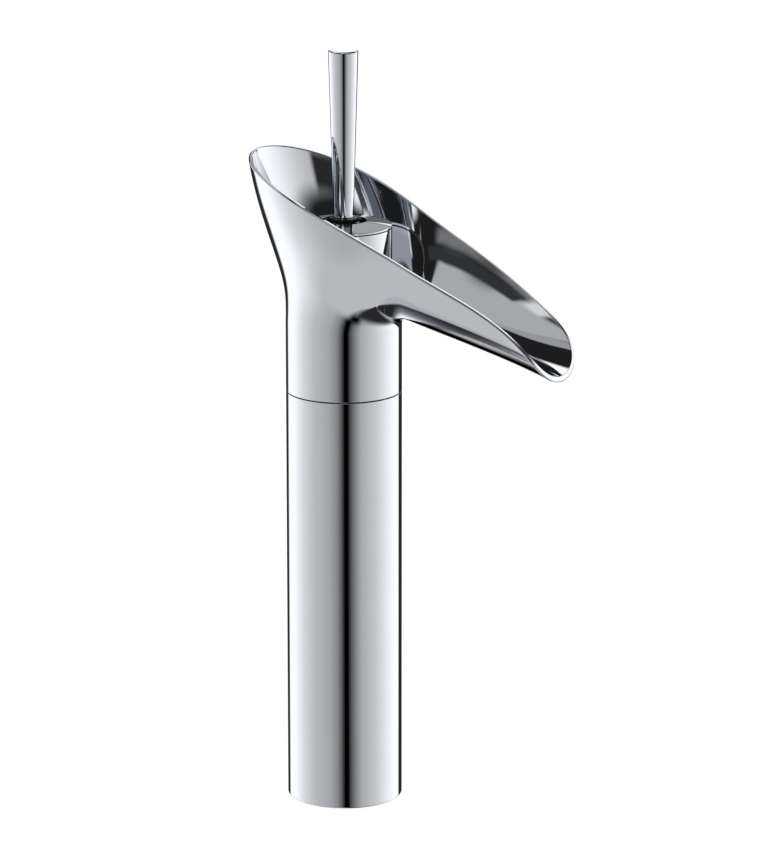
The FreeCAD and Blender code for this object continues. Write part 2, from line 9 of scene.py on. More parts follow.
import bpy
import numpy as np
from mathutils import Matrix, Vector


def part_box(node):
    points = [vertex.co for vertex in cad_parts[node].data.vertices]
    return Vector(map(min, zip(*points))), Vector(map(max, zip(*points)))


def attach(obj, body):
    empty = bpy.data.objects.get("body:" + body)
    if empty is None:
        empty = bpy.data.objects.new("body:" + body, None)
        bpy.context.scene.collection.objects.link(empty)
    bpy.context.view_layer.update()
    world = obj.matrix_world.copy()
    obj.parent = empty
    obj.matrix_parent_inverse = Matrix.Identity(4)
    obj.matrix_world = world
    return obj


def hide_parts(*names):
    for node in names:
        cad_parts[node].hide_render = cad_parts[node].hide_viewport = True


bl_info = {
    "name": "Calla basin mixer",
    "version": (1, 0, 0),
    "blender": (4, 5, 0),
    "location": "View3D > Sidebar > Mixer",
    "description": "Polished skins, finishes and studio for a tall basin mixer",
    "category": "Object",
}

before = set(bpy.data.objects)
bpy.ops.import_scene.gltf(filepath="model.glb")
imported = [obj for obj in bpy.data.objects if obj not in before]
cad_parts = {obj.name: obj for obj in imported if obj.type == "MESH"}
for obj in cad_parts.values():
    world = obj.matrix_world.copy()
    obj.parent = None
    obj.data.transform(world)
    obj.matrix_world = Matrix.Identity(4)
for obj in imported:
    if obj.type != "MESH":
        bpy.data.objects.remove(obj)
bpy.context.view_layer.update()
MM = 0.001
SENSOR_WIDTH = 36.0
VIEW_REACH = 20.0

# Fineness of the formulas: samples along the rim's side view and steps that stretch it past its ends,
# rings searched for the rim, halvings in a search, and the small steps for slopes
RIM_SAMPLES = 4000
RIM_STRETCH = 2000
RIM_RINGS = 3000
HALVINGS = 50
SMALL_STEP = 1e-5
FINE_STEP = 1e-6
# Points on a rounded corner of a turned piece, by how much of its form is arc
ARC_STEPS = 6
DOME_STEPS = 8
BALL_STEPS = 12
WEB_STEPS = 4
# How many edge roundings the spout's walls keep clear of its foot and of its floor web
EDGE_CLEAR = 4
# Rings between the rod's grid and the circle of the set screw's hole
PATCH_RINGS = 5
# Least turn of an arc in radians, so that its spokes never vanish
LEAST_TURN = 1e-6
# Shares of an edge's rounding: left on the ball's hidden edges, kept clear of those, and of other edges
SHARP_EDGE = 0.02
SHARP_STOP = 0.05
ARC_STOP = 2.0
# Octaves of the grain in the finishes and depth of their fine relief
GRAIN_DETAIL = 4.0
RELIEF_DEPTH = 0.2 * MM
# Floor: mottle per metre and its octaves, ramp of its pale tones, and the grey that takes shadows
FLOOR_GRAIN = 9.0
FLOOR_DETAIL = 2.0
FLOOR_TONES = ((0.3, 0.985), (0.7, 1.0))
FLOOR_GREY = 0.4
# Sockets of the mix node by what it mixes: the two inputs and the output
MIX_SOCKETS = {"FLOAT": (2, 3, 0), "RGBA": (6, 7, 2)}

# Sections of the spout: turn of the plane in degrees, or share of the run, then how much taller and
# wider than the column the half-axes are, in millimetres.  Against the construction model the bowl is
# 1 to 2 mm larger and its elbow widens later, by up to 3.5 mm on each side.
ELBOW_RINGS = ((0.0, 0.0, 0.0), (20.0, 2.5, 1.0), (40.0, 16.6, 6.5), (60.0, 40.5, 15.2), (80.0, 46.5, 17.0))
RUN_RINGS = ((0.0, 44.5, 17.0), (1 / 3, 26.0, 10.3), (2 / 3, 0.0, 4.1), (1.0, -10.0, 9.3))
# Side view of the rim in millimetres: the back from the axis and the elbow, the nose from the keel's tip
RIM_BACK = ((-60.0, 83.9), (-46.0, 78.7), (0.0, 58.9), (44.0, 34.4))
RIM_NOSE = ((-21.0, 26.8), (-7.1, 12.7), (0.0, 0.0), (3.0, -6.0))
# Cloth of the light tent at the column's level: turn from the camera in degrees, then brightness
TENT_CLOTH = ((-180, 0.55), (-173, 0.02), (-148, 0.02), (-142, 0.98), (-116, 0.95), (-88, 0.66), (-60, 0.47),
              (-30, 0.37), (-14, 0.24), (-3, 0.05), (1, 0.0), (8, 0.0), (19, 0.16), (34, 0.38), (66, 0.56),
              (94, 0.80), (120, 0.98), (138, 0.96), (141, 0.02), (173, 0.02), (180, 0.55))
# Cards hung in front of the cloth, the later ones nearer: turn and height of the middle, half-width,
# half-height and soft edge in degrees, then brightness
TENT_CARDS = (
    ("grey_table", 0, -76, 200, 30, 8, 0.47),
    ("shadow_right", 82, -76, 72, 28, 14, 0.02),
    ("dark_bend", 15, -47, 13, 10, 9, 0.0),
    ("shadow_behind", 180, -38, 20, 13, 5, 0.0),
    ("dark_ceiling", 0, 59, 200, 42, 4, 0.012),
    ("ceiling_edge", 27, 33, 63, 4.5, 3, 0.16),
    ("dark_header", -8, 10, 52, 8, 4, 0.02),
    ("dark_back", 153, 9, 12, 9, 3, 0.06),
    ("overhead_panel", 13, 70, 42, 27, 5, 0.38),
    ("overhead_side", 76, 79, 26, 15, 5, 0.30),
    ("left_gap", -32, 45, 13, 5, 2, 0.03),
    ("rear_panel", -122, 31, 52, 8, 4, 0.16),
    ("rear_overhead", -118, 68, 50, 26, 6, 0.55),
    ("back_panel", 157, 27, 12, 9, 3, 0.95),
    ("back_drape", 176, 29, 8, 11, 3, 0.33),
    ("back_strip", 180, 13, 9, 4, 2, 0.92),
    ("front_strip", -8, 36, 9, 10, 4, 0.62),
)

EVEN = (1.0, 1.0, 1.0)
# Finish of each record slot: colour setting, range of roughness, metallic, grain per metre and how it is
# stretched, swing of the brightness, and strength of the fine relief
FINISHES = {
    "polished_chrome": ("chrome", (0.015, 0.045), 1.0, 60.0, EVEN, 0.015, 0.0),
    "turned_brass": ("brass", (0.22, 0.38), 1.0, 900.0, (0.05, 0.05, 1.0), 0.06, 0.15),
    "copper_tube": ("copper", (0.25, 0.42), 1.0, 700.0, (1.0, 1.0, 0.04), 0.06, 0.12),
    "black_rubber": ("rubber", (0.55, 0.75), 0.0, 1500.0, EVEN, 0.25, 0.2),
    "black_ball": ("ball", (0.16, 0.24), 0.0, 1200.0, EVEN, 0.2, 0.03),
    "cartridge_moulding": ("moulding", (0.38, 0.52), 0.0, 800.0, EVEN, 0.06, 0.12),
    "disc_ceramic": ("ceramic", (0.12, 0.2), 0.0, 2500.0, EVEN, 0.03, 0.0),
    "steel_pin": ("steel", (0.18, 0.32), 1.0, 1200.0, (0.1, 1.0, 1.0), 0.06, 0.1),
}


def length(name, description, default):
    """A size in metres."""
    return bpy.props.FloatProperty(name=name, description=description, default=default,
                                   unit="LENGTH", precision=5)


def angle(name, description, degrees):
    """An angle, given in degrees."""
    return bpy.props.FloatProperty(name=name, description=description, default=math.radians(degrees),
                                   subtype="ANGLE", unit="ROTATION")


def number(name, description, default):
    """A plain positive number."""
    return bpy.props.FloatProperty(name=name, description=description, default=default, min=0.0)


def count(name, description, default):
    """A count of rows, columns or steps."""
    return bpy.props.IntProperty(name=name, description=description, default=default, min=3)


def tint(name, description, default):
    """A linear colour."""
    return bpy.props.FloatVectorProperty(name=name, description=description, default=default, subtype="COLOR",
                                         size=3, min=0.0, max=1.0)


def top_of(node):
    """Height of a node's top."""
    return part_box(node)[1].z


def foot_of(node):
    """Height of a node's foot."""
    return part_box(node)[0].z


def radius_of(node):
    """Largest reach of a node along X."""
    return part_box(node)[1].x


class StageSettings(bpy.types.PropertyGroup):
    """Camera, floor and light."""

    azimuth: angle("Camera azimuth", "Turn of the camera round the column", 20.0)
    elevation: angle("Camera elevation", "Height of the camera over the horizon", 14.7)
    distance: length("Camera distance", "Distance back from the deck's centre", 2.1106)
    aside: length("Camera shift right", "Shift towards the camera's right", 0.01972)
    above: length("Camera shift up", "Shift along the camera's up direction", 0.16697)
    lens: number("Lens", "Focal length in millimetres on a 36 mm sensor", 194.37)
    floor_radius: length("Floor radius", "Radius of the floor", 2.95)
    floor_glow: number("Floor glow", "Light that the floor gives by itself", 0.87)
    tent_radius: length("Tent radius", "Radius of the light tent", 3.0)
    tent_centre: length("Tent centre", "Height of the tent's centre", 0.2)
    tent_level: number("Tent level", "Brightness of the tent's white cloth", 1.2)
    key_power: number("Key power", "Power of the soft light in watts", 9.0)
    key_size: length("Key size", "Side of the soft light", 1.4)
    key_height: length("Key height", "Height of the soft light", 1.6)
    segments: count("Segments", "Facets round the floor and the tent", 96)
    floor_rings: count("Floor rings", "Rings of the floor", 24)
    tent_rows: count("Tent rows", "Points from the tent's foot to its top", 64)
    tent_opening: angle("Tent opening", "Half-angle of the openings at the tent's poles", 0.18)


class ColumnSettings(bpy.types.PropertyGroup):
    """Plain lower column and the dark line on top of it."""

    radius: length("Radius", "Outer radius of the column", radius_of("column_sleeve"))
    wall: length("Wall", "Thickness of the tube", 2.5 * MM)
    top: length("Top", "Height of the tube's upper end", top_of("column_sleeve"))
    foot_round: length("Foot round", "Rounding of the foot's outer edge", 0.6 * MM)
    edge_round: length("Edge round", "Rounding of the other edges", 0.15 * MM)
    line_radius: length("Line radius", "Outer radius of the dark joint line", radius_of("joint_gasket"))
    line_top: length("Line top", "Height of the joint line's upper face", top_of("joint_gasket"))
    segments: count("Segments", "Facets round the column", 192)


class SpoutSettings(bpy.types.PropertyGroup):
    """Calla spout: ellipses that stand on a keel line, cut by a swept rim."""

    wall: length("Wall", "Thickness of the shell", 2.5 * MM)
    elbow_rise: length("Elbow rise", "Height of the elbow over the joint line", 30.0 * MM)
    elbow_radius: length("Elbow radius", "Radius of the keel's bend", 5.0 * MM)
    elbow_pitch: length("Elbow pitch", "Length that stands for one radian of the bend", 30.0 * MM)
    keel_drop: angle("Keel drop", "Fall of the keel past the bend", 17.0)
    mouth_run: length("Mouth run", "Length of the keel up to its tip", 76.0 * MM)
    run_past: length("Run past mouth", "Length of skin past the keel's tip", 8.0 * MM)
    rim_round: length("Rim round", "Rounding of the rim's two edges", 0.7 * MM)
    edge_round: length("Edge round", "Rounding of the inner edges", 0.15 * MM)
    web_bottom: length("Web bottom", "Underside of the floor web", 206.0 * MM)
    web_top: length("Web top", "Upper side of the floor web", 211.0 * MM)
    web_hole: length("Web hole", "Radius of the opening in the floor web", 18.0 * MM)
    columns: count("Columns", "Points round the spout", 320)
    rows: count("Rows", "Points up each of the two skins", 124)
    crowding: number("Crowding", "How closely the columns crowd at the keel", 1.8)
    arc_steps: count("Arc steps", "Points on each rounded edge", 7)


class TowerSettings(bpy.types.PropertyGroup):
    """Cap and seam of the round tower in the bowl."""

    radius: length("Radius", "Outer radius of the cap", radius_of("dome_cap"))
    bottom: length("Bottom", "Height of the cap's lower edge", top_of("cap_ring"))
    band: length("Band", "Height of the cap's upright edge", 0.8 * MM)
    crown: length("Crown", "Rise of the dome over the band", 2.6 * MM)
    hole: length("Hole", "Radius of the opening for the ball", 10.38 * MM)
    wall: length("Wall", "Thickness of the dome", 1.6 * MM)
    skirt_radius: length("Skirt radius", "Outer radius of the hidden skirt", 17.4 * MM)
    skirt_bore: length("Skirt bore", "Inner radius of the hidden skirt", 14.8 * MM)
    skirt_bottom: length("Skirt bottom", "Height of the skirt's lower end", foot_of("dome_cap"))
    edge_round: length("Edge round", "Rounding of the edges", 0.2 * MM)
    seam_radius: length("Seam radius", "Outer radius of the dark seam", radius_of("cap_ring"))
    seam_bore: length("Seam bore", "Inner radius of the dark seam", 17.5 * MM)
    seam_bottom: length("Seam bottom", "Height of the seam's lower face", foot_of("cap_ring"))
    segments: count("Segments", "Facets round the tower", 160)


class LeverSettings(bpy.types.PropertyGroup):
    """Tapered rod and the black ball it stands on."""

    bottom: length("Rod bottom", "Height of the rod's foot", foot_of("lever_rod"))
    top: length("Rod top", "Height of the rod's end", top_of("lever_rod"))
    foot_radius: length("Foot radius", "Radius of the rod's foot", 4.5 * MM)
    top_radius: length("Top radius", "Radius of the rod's end", 6.7 * MM)
    top_round: length("Top round", "Rounding of the rod's end", 0.8 * MM)
    edge_round: length("Edge round", "Rounding of small edges", 0.12 * MM)
    bore: length("Bore", "Radius of the bore for the spindle", 2.55 * MM)
    bore_depth: length("Bore depth", "Depth of the bore", 20.0 * MM)
    screw_height: length("Screw height", "Height of the set screw over the rod's foot", 9.0 * MM)
    screw_radius: length("Screw radius", "Radius of the set screw's hole", 1.5 * MM)
    screw_floor: length("Screw floor", "Distance of the hole's end from the axis", 2.7 * MM)
    pivot: length("Pivot", "Height of the ball's centre", 256.0 * MM)
    ball_radius: length("Ball radius", "Radius of the ball", 12.5 * MM)
    ball_hollow: length("Ball hollow", "Radius of the ball's hollow", 10.3 * MM)
    ball_foot: length("Ball foot", "Height of the ball's lower edge", foot_of("lever_ball"))
    collar: length("Collar", "Radius of the collar under the rod", 6.4 * MM)
    hub_bottom: length("Hub bottom", "Height of the hub's lower end", 263.5 * MM)
    hub_radius: length("Hub radius", "Radius of the hub", 4.5 * MM)
    segments: count("Segments", "Facets round the rod and the ball", 96)
    patch: count("Patch half-width", "Columns on each side of the set screw's hole", 7)


class FinishSettings(bpy.types.PropertyGroup):
    """Colours of the finishes."""

    chrome: tint("Chrome", "Polished chrome", (0.825, 0.845, 0.885))
    brass: tint("Brass", "Turned brass", (0.78, 0.57, 0.27))
    copper: tint("Copper", "Drawn copper tube", (0.80, 0.42, 0.27))
    rubber: tint("Rubber", "Black seals", (0.018, 0.018, 0.019))
    ball: tint("Ball", "Black moulding of the lever's ball", (0.010, 0.010, 0.011))
    moulding: tint("Moulding", "Pale cartridge moulding", (0.62, 0.61, 0.57))
    ceramic: tint("Ceramic", "Disc ceramic", (0.82, 0.80, 0.76))
    steel: tint("Steel", "Hardened steel", (0.45, 0.45, 0.46))


def unit(vectors):
    """Vectors divided by their lengths along the last axis."""
    return vectors / np.linalg.norm(vectors, axis=-1, keepdims=True)


def spline_slopes(x, y, first, last):
    """Slopes at the knots of the smooth cubic through (x, y) whose end slopes are given."""
    h = np.diff(x)
    rises = np.diff(y) / h
    size = len(x)
    system = np.eye(size)
    side = np.zeros(size)
    inner = np.arange(1, size - 1)
    system[inner, inner - 1] = 1 / h[:-1]
    system[inner, inner] = 2 / h[:-1] + 2 / h[1:]
    system[inner, inner + 1] = 1 / h[1:]
    side[1:-1] = 3 * (rises[:-1] / h[:-1] + rises[1:] / h[1:])
    side[0] = first
    side[-1] = last
    return np.linalg.solve(system, side)


def spline_at(x, y, slopes, places):
    """Values of the cubic with those knots and slopes, by the Hermite formula in each span."""
    span = np.clip(np.searchsorted(x, places) - 1, 0, len(x) - 2)
    h = x[span + 1] - x[span]
    t = (places - x[span]) / h
    rest = 1 - t
    ends = y[span] * rest ** 2 * (1 + 2 * t) + y[span + 1] * t ** 2 * (3 - 2 * t)
    return ends + h * t * rest * (slopes[span] * rest - slopes[span + 1] * t)


def end_slope(places, values):
    """Slope at the first place of the cubic polynomial through four values."""
    return np.polyfit(places - places[0], values, 3)[-2]


def arc_between(first, last, steps):
    """Unit vectors turned evenly from first to last, along a new axis before the last one."""
    cosine = np.clip(np.sum(first * last, axis=-1, keepdims=True), -1.0, 1.0)
    turn = np.maximum(np.arccos(cosine), LEAST_TURN)[..., None, :]
    share = np.linspace(0.0, 1.0, steps)[:, None]
    mixed = np.sin((1 - share) * turn) * first[..., None, :] + np.sin(share * turn) * last[..., None, :]
    return unit(mixed)


def rounded_profile(corners, radii, steps, closed):
    """Points and normals of an outline in (radius, height) with every corner replaced by an arc.

    The outline runs with the material on its left.  Each arc touches both sides of its corner at
    radius / tan(half the corner's angle), and the normals turn evenly along it.
    """
    corners = np.array(corners)
    kept = corners if closed else corners[1:-1]
    before = unit((np.roll(corners, 1, 0) if closed else corners[:-2]) - kept)
    after = unit((np.roll(corners, -1, 0) if closed else corners[2:]) - kept)
    half = 0.5 * np.arccos(np.clip(np.sum(before * after, -1), -1.0, 1.0))
    radius = np.array(radii)
    centre = kept + unit(before + after) * (radius / np.sin(half))[:, None]
    reach = (radius / np.tan(half))[:, None]
    starts = unit(kept + before * reach - centre)
    ends = unit(kept + after * reach - centre)
    points = centre[:, None, :] + radius[:, None, None] * arc_between(starts, ends, steps)
    normal_in = np.stack((-before[:, 1], before[:, 0]), -1)
    normal_out = np.stack((after[:, 1], -after[:, 0]), -1)
    normals = arc_between(normal_in, normal_out, steps)
    points = points.reshape(-1, 2)
    normals = normals.reshape(-1, 2)
    if not closed:
        points = np.vstack((corners[:1], points, corners[-1:]))
        normals = np.vstack((normal_in[:1], normals, normal_out[-1:]))
    return points, normals


def arc_corner(centre, radius, from_axis, to_axis):
    """Corner of the tangents to an arc about a point of the axis, between two distances from the axis."""
    first = math.asin(from_axis / radius)
    last = math.asin(to_axis / radius)
    middle = 0.5 * (first + last)
    reach = radius / math.cos(0.5 * (first - last))
    return (reach * math.sin(middle), centre + reach * math.cos(middle))


def ring_corners(bore, radius, bottom, top):
    """Corners of a plain ring's outline."""
    return [(bore, bottom), (radius, bottom), (radius, top), (bore, top)]


def turned_grid(profile, angles):
    """A profile in (radius, height) carried round the axis: rows follow it, columns follow the angles."""
    radius = profile[:, 0, None]
    height = np.broadcast_to(profile[:, 1, None], (len(profile), len(angles)))
    return np.stack((radius * np.cos(angles), radius * np.sin(angles), height), -1)


def even_angles(number_of):
    """Angles of one full turn."""
    return np.arange(number_of) * (2 * math.pi / number_of)


def grid_faces(rows, columns, closed):
    """Quads of a grid that is closed round its columns, and round its rows if asked."""
    row = np.arange(rows if closed else rows - 1)[:, None]
    column = np.arange(columns)[None, :]
    low = row * columns
    high = ((row + 1) % rows) * columns
    right = (column + 1) % columns
    return np.stack((low + column, low + right, high + right, high + column), -1).reshape(-1, 4)


def add_mesh(name, vertices, faces, material):
    """A smooth mesh object in the scene."""
    mesh = bpy.data.meshes.new(name)
    mesh.from_pydata(vertices.reshape(-1, 3).tolist(), [], faces)
    mesh.shade_smooth()
    mesh.materials.append(material)
    thing = bpy.data.objects.new(name, mesh)
    bpy.context.scene.collection.objects.link(thing)
    return thing


def add_piece(name, vertices, normals, faces, body, slot, replaced):
    """A mesh with its slot's finish that rides a body and stands for the nodes it replaces."""
    piece = add_mesh(name, vertices, faces, finish(slot))
    piece.data.normals_split_custom_set_from_vertices(unit(normals).reshape(-1, 3).tolist())
    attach(piece, body)
    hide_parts(*replaced)


def add_turned(name, corners, radii, segments, body, slot, replaced, steps=ARC_STEPS):
    """A closed turned piece: a rounded outline carried round the axis."""
    profile, slant = rounded_profile(corners, radii, steps, True)
    angles = even_angles(segments)
    faces = grid_faces(len(profile), segments, True).tolist()
    add_piece(name, turned_grid(profile, angles), turned_grid(slant, angles), faces, body, slot, replaced)


class Nodes:
    """Short way to lay out a material's node tree."""

    def __init__(self, material):
        material.use_nodes = True
        self.tree = material.node_tree
        self.tree.nodes.clear()

    def add(self, kind, inputs=(), **settings):
        """A node with its settings, and its inputs as constants or as links from other sockets."""
        node = self.tree.nodes.new(kind)
        for key, value in settings.items():
            setattr(node, key, value)
        for key, value in dict(inputs).items():
            if isinstance(value, bpy.types.NodeSocket):
                self.tree.links.new(value, node.inputs[key])
            else:
                node.inputs[key].default_value = value
        return node

    def math(self, operation, first, second=0.0):
        """One arithmetic step."""
        return self.add("ShaderNodeMath", {0: first, 1: second}, operation=operation).outputs[0]

    def noise(self, grain, detail, stretch):
        """A noise on object coordinates."""
        place = self.add("ShaderNodeTexCoord").outputs["Object"]
        place = self.add("ShaderNodeMapping", {"Vector": place, "Scale": stretch}).outputs[0]
        return self.add("ShaderNodeTexNoise", {"Vector": place, "Scale": grain, "Detail": detail}).outputs[0]

    def mix(self, kind, share, first, last):
        """A blend of two numbers or of two colours."""
        low, high, result = MIX_SOCKETS[kind]
        node = self.add("ShaderNodeMix", {0: share, low: first, high: last}, data_type=kind)
        return node.outputs[result]

    def ramp(self, place, stops):
        """A grey ramp through (place, level) stops."""
        node = self.add("ShaderNodeValToRGB", {0: place})
        elements = node.color_ramp.elements
        while len(elements) < len(stops):
            elements.new(1.0)
        for element, (position, level) in zip(elements, stops):
            element.position = position
            element.color = (level, level, level, 1.0)
        return node.outputs[0]

    def output(self, surface):
        """The material's output."""
        self.add("ShaderNodeOutputMaterial", {"Surface": surface})


def shade(colour, factor):
    """A colour with its brightness changed, opaque."""
    return tuple(min(1.0, part * factor) for part in colour) + (1.0,)


def finish_material(name, colour, rough, metallic, grain, stretch, swing, bump):
    """A finish whose colour, roughness and fine relief follow a noise on object coordinates."""
    material = bpy.data.materials.new(name)
    nodes = Nodes(material)
    noise = nodes.noise(grain, GRAIN_DETAIL, stretch)
    grained = nodes.mix("RGBA", noise, shade(colour, 1 - swing), shade(colour, 1 + swing))
    roughness = nodes.add("ShaderNodeMapRange", {"Value": noise, "To Min": rough[0], "To Max": rough[1]})
    shader = nodes.add("ShaderNodeBsdfPrincipled", {
        "Base Color": grained, "Metallic": metallic, "Roughness": roughness.outputs[0]})
    if bump:
        relief = nodes.add("ShaderNodeBump", {"Height": noise, "Strength": bump, "Distance": RELIEF_DEPTH})
        nodes.tree.links.new(relief.outputs[0], shader.inputs["Normal"])
    nodes.output(shader.outputs[0])
    return material


def finish(slot):
    """The finish of a record slot, made once."""
    name = "finish_" + slot
    setting, *look = FINISHES[slot]
    colour = getattr(bpy.context.scene.mixer_finish, setting)
    return bpy.data.materials.get(name) or finish_material(name, colour, *look)


def add_camera(stage):
    """Camera at the picture's angle, from its right, up and back directions."""
    a = stage.azimuth
    e = stage.elevation
    right = np.array((math.cos(a), math.sin(a), 0.0))
    up = np.array((-math.sin(e) * math.sin(a), math.sin(e) * math.cos(a), math.cos(e)))
    back = np.array((math.sin(a) * math.cos(e), -math.cos(a) * math.cos(e), math.sin(e)))
    place = stage.distance * back + stage.aside * right + stage.above * up
    camera = bpy.data.objects.new("camera", bpy.data.cameras.new("camera"))
    camera.data.lens = stage.lens
    camera.data.sensor_width = SENSOR_WIDTH
    camera.data.clip_end = VIEW_REACH
    turned = np.column_stack((right, up, back, place))
    camera.matrix_world = Matrix(np.vstack((turned, (0, 0, 0, 1))).tolist())
    bpy.context.scene.collection.objects.link(camera)
    bpy.context.scene.camera = camera


def tent_material(stage):
    """Cloth that glows by a ramp over the turn from the camera, with soft-edged cards laid over it.

    Each card is a patch of the sphere: one smooth step in the angle from its middle round the axis,
    times one in the angle from its middle up and down.
    """
    material = bpy.data.materials.new("tent_cloth")
    nodes = Nodes(material)
    place = nodes.add("ShaderNodeTexCoord").outputs["Object"]
    centre = (0.0, 0.0, stage.tent_centre)
    place = nodes.add("ShaderNodeVectorMath", {0: place, 1: centre}, operation="SUBTRACT").outputs[0]
    place = nodes.add("ShaderNodeVectorMath", {0: place}, operation="NORMALIZE").outputs[0]
    to_camera = math.atan2(-math.cos(stage.azimuth), math.sin(stage.azimuth))
    turned = nodes.add("ShaderNodeVectorRotate", {"Vector": place, "Angle": -to_camera},
                       rotation_type="Z_AXIS").outputs[0]
    parts = nodes.add("ShaderNodeSeparateXYZ", {0: turned}).outputs
    turn = nodes.math("ADD", nodes.math("DEGREES", nodes.math("ARCTAN2", parts["Y"], parts["X"])), 180.0)
    height = nodes.math("DEGREES", nodes.math("ARCSINE", parts["Z"]))

    def inside(off, half, soft):
        """One within a card's half-size, zero past its soft edge."""
        inputs = {"Value": nodes.math("ABSOLUTE", off), "From Min": half + soft, "From Max": half - soft}
        return nodes.add("ShaderNodeMapRange", inputs, interpolation_type="SMOOTHSTEP").outputs[0]

    stops = [((stop + 180) / 360, level) for stop, level in TENT_CLOTH]
    glow = nodes.ramp(nodes.math("DIVIDE", turn, 360.0), stops)
    for _, middle, middle_height, half, half_height, soft, level in TENT_CARDS:
        off = nodes.math("FLOORED_MODULO", nodes.math("SUBTRACT", turn, middle), 360.0)
        round_it = inside(nodes.math("SUBTRACT", off, 180.0), half, soft)
        up_it = inside(nodes.math("SUBTRACT", height, middle_height), half_height, soft)
        glow = nodes.mix("FLOAT", nodes.math("MULTIPLY", round_it, up_it), glow, level)
    strength = nodes.math("MULTIPLY", glow, stage.tent_level)
    light = nodes.add("ShaderNodeEmission", {"Strength": strength})
    nodes.output(light.outputs[0])
    return material


def floor_material(stage):
    """Pale floor that glows by itself, so that it stays even and takes only soft shadows."""
    material = bpy.data.materials.new("pale_floor")
    nodes = Nodes(material)
    pale = nodes.ramp(nodes.noise(FLOOR_GRAIN, FLOOR_DETAIL, EVEN), FLOOR_TONES)
    glow = nodes.add("ShaderNodeEmission", {"Color": pale, "Strength": stage.floor_glow})
    matt = nodes.add("ShaderNodeBsdfDiffuse", {"Color": (FLOOR_GREY,) * 3 + (1.0,)})
    both = nodes.add("ShaderNodeAddShader", {0: glow.outputs[0], 1: matt.outputs[0]})
    nodes.output(both.outputs[0])
    return material


def add_stage_mesh(name, vertices, faces, material):
    """A smooth mesh object for the studio, such as the floor or the tent."""
    thing = add_mesh(name, vertices, faces, material)
    return thing


def add_floor(stage):
    """Round floor, kept out of the reflections."""
    size = stage.segments
    rings = stage.floor_rings
    reach = np.linspace(1.0, 0.0, rings + 1)[:-1] * stage.floor_radius
    floor = turned_grid(np.stack((reach, np.zeros(rings)), -1), even_angles(size)).reshape(-1, 3)
    inner = np.arange(size) + (rings - 1) * size
    middle = np.stack((inner, np.roll(inner, -1), np.full(size, rings * size)), -1)
    faces = grid_faces(rings, size, False).tolist() + middle.tolist()
    plane = add_stage_mesh("floor", np.vstack((floor, np.zeros((1, 3)))), faces, floor_material(stage))
    plane.visible_glossy = False


def add_tent(stage):
    """Light tent round the floor, hidden from the camera."""
    steepest = 0.5 * math.pi - stage.tent_opening
    tilt = np.linspace(-steepest, steepest, stage.tent_rows)
    shape = np.stack((np.cos(tilt), np.sin(tilt)), -1) * stage.tent_radius + (0.0, stage.tent_centre)
    sphere = turned_grid(shape, even_angles(stage.segments))
    faces = grid_faces(stage.tent_rows, stage.segments, False).tolist()
    tent = add_stage_mesh("light_tent", sphere, faces, tent_material(stage))
    tent.visible_camera = False
    tent.visible_shadow = False


def add_light(stage):
    """White world, and a soft light overhead kept out of the reflections."""
    scene = bpy.context.scene
    scene.world = bpy.data.worlds.new("studio_white")
    scene.world.use_nodes = True
    scene.world.node_tree.nodes["Background"].inputs["Color"].default_value = (1.0, 1.0, 1.0, 1.0)
    light = bpy.data.lights.new("soft_key", "AREA")
    light.energy = stage.key_power
    light.size = stage.key_size
    lamp = bpy.data.objects.new("soft_key", light)
    lamp.location = (0.0, 0.0, stage.key_height)
    lamp.visible_glossy = False
    scene.collection.objects.link(lamp)
    scene.view_settings.view_transform = "Standard"


class MIXER_OT_stage(bpy.types.Operator):
    """Camera, pale floor, light tent and one soft light overhead"""

    bl_idname = "mixer.stage"
    bl_label = "Studio"

    def execute(self, context):
        stage = context.scene.mixer_stage
        for add in (add_camera, add_floor, add_tent, add_light):
            add(stage)
        return {"FINISHED"}


class MIXER_OT_column(bpy.types.Operator):
    """Polished column tube and the dark joint line on it"""

    bl_idname = "mixer.column"
    bl_label = "Column"

    def execute(self, context):
        column = context.scene.mixer_column
        bore = column.radius - column.wall
        small = column.edge_round
        add_turned("column_skin", ring_corners(bore, column.radius, 0.0, column.top),
                   [small, column.foot_round, small, small], column.segments, "faucet", "polished_chrome",
                   ["column_sleeve"])
        add_turned("joint_line", ring_corners(bore, column.line_radius, column.top, column.line_top),
                   [small] * 4, column.segments, "faucet", "black_rubber", ["joint_gasket"])
        return {"FINISHED"}


